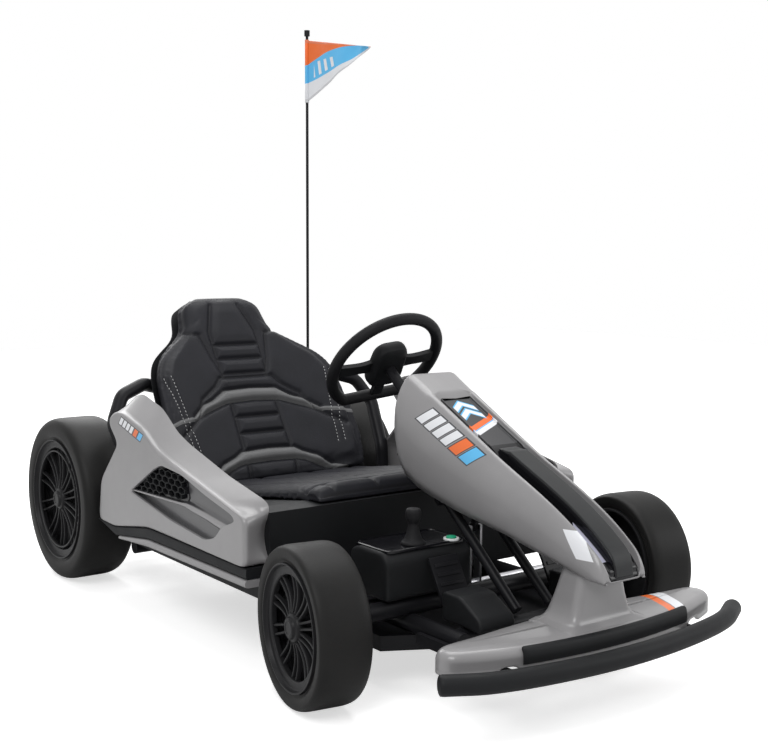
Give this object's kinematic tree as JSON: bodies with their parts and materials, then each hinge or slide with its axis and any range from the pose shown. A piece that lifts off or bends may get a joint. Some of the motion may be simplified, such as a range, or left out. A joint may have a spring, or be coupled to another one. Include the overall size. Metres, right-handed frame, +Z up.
{
  "type": "electric drift kart",
  "caption": "Low electric drift kart with a tube frame, bucket seat, grey side pods, long nose over steered front wheels, front bumper and a pennant on a pole.",
  "frame": {"origin": "on the ground, in the middle of the kart's length and width", "axes": "+Z up, -Y towards the front of the kart, +X towards the driver's left"},
  "size_m": [0.7506, 1.3412, 1.116],
  "materials": {
    "frame_black": "satin black powder coat",
    "body_grey": "gloss grey moulded plastic",
    "dark_plastic": "grained black plastic",
    "gloss_black": "gloss black plastic",
    "band_grey": "dark grey plastic",
    "tyre_rubber": "slick black tyre",
    "rim_black": "satin black wheel",
    "bare_steel": "plated steel",
    "seat_leather": "black quilted seat cover with grey bands",
    "grip_rubber": "soft black grip",
    "battery_case": "black battery case",
    "flag_cloth": "printed nylon pennant",
    "button_green": "green push button"
  },
  "bodies": {
    "chassis": {"main_frame": "frame_black", "floor_tray": "frame_black", "rear_axle": "bare_steel", "gear_motors": "dark_plastic", "front_bumper": "frame_black", "bumper_brackets": "frame_black", "front_wing": "body_grey", "wing_strip": "gloss_black", "nose_cowl": "body_grey", "nose_liner": "gloss_black", "nose_band": "band_grey", "column_struts": "frame_black", "seat_base": "dark_plastic", "battery": "battery_case", "seat_cushion": "seat_leather", "seat_back": "seat_leather", "seat_shell": "dark_plastic", "side_panel_right": "body_grey", "side_panel_left": "body_grey", "side_meshes": "dark_plastic", "side_sills": "gloss_black", "side_lips": "body_grey", "console_box": "dark_plastic", "drift_lever": "dark_plastic", "start_button": "button_green", "pedal_boxes": "dark_plastic", "pedals": "frame_black", "flag_socket": "frame_black", "flag_pole": "grip_rubber", "flag": "flag_cloth", "side_arms": "frame_black"},
    "steering": {"steering_shaft": "bare_steel", "steering_ring": "grip_rubber", "steering_hub": "dark_plastic"},
    "knuckle_right": {"knuckle_right": "frame_black"},
    "knuckle_left": {"knuckle_left": "frame_black"},
    "tie_rod": {"tie_rod": "bare_steel"},
    "front_wheel_right": {"front_tyre_right": "tyre_rubber", "front_rim_right": "rim_black"},
    "rear_wheel_right": {"rear_tyre_right": "tyre_rubber", "rear_rim_right": "rim_black"},
    "front_wheel_left": {"front_tyre_left": "tyre_rubber", "front_rim_left": "rim_black"},
    "rear_wheel_left": {"rear_tyre_left": "tyre_rubber", "rear_rim_left": "rim_black"}
  },
  "joints": [
    {"name": "steer_right", "type": "hinge", "parent": "chassis", "child": "knuckle_right", "pos_m": [-0.2881, -0.346, 0.116], "axis": [0, 0, 1], "range_deg": [-13.1, 30.9]},
    {"name": "front_spin_right", "type": "hinge", "parent": "knuckle_right", "child": "front_wheel_right", "pos_m": [-0.31971, -0.34105, 0.116], "axis": [0.988, -0.1547, 0], "continuous": true},
    {"name": "rear_spin_right", "type": "hinge", "parent": "chassis", "child": "rear_wheel_right", "pos_m": [-0.3086, 0.514, 0.157], "axis": [1, 0, 0], "continuous": true},
    {"name": "steer_left", "type": "hinge", "parent": "chassis", "child": "knuckle_left", "pos_m": [0.2881, -0.346, 0.116], "axis": [0, 0, 1], "range_deg": [-13.1, 30.9]},
    {"name": "front_spin_left", "type": "hinge", "parent": "knuckle_left", "child": "front_wheel_left", "pos_m": [0.31971, -0.35095, 0.116], "axis": [0.988, -0.1547, 0], "continuous": true},
    {"name": "rear_spin_left", "type": "hinge", "parent": "chassis", "child": "rear_wheel_left", "pos_m": [0.3086, 0.514, 0.157], "axis": [1, 0, 0], "continuous": true},
    {"name": "steering_column", "type": "hinge", "parent": "chassis", "child": "steering", "pos_m": [0, -0.346, 0.22612], "axis": [0, 0.766, 0.6428], "range_deg": [-13.1, 30.9]},
    {"name": "tie_rod_pivot", "type": "hinge", "parent": "knuckle_right", "child": "tie_rod", "pos_m": [-0.2816, -0.30451, 0.116], "axis": [0, 0, 1], "range_deg": [-30.9, 13.1]}
  ],
  "couplings": [
    {"joint": "steer_left", "follows": "steer_right", "ratio": 1},
    {"joint": "steering_column", "follows": "steer_right", "ratio": 1},
    {"joint": "tie_rod_pivot", "follows": "steer_right", "ratio": -1}
  ]
}
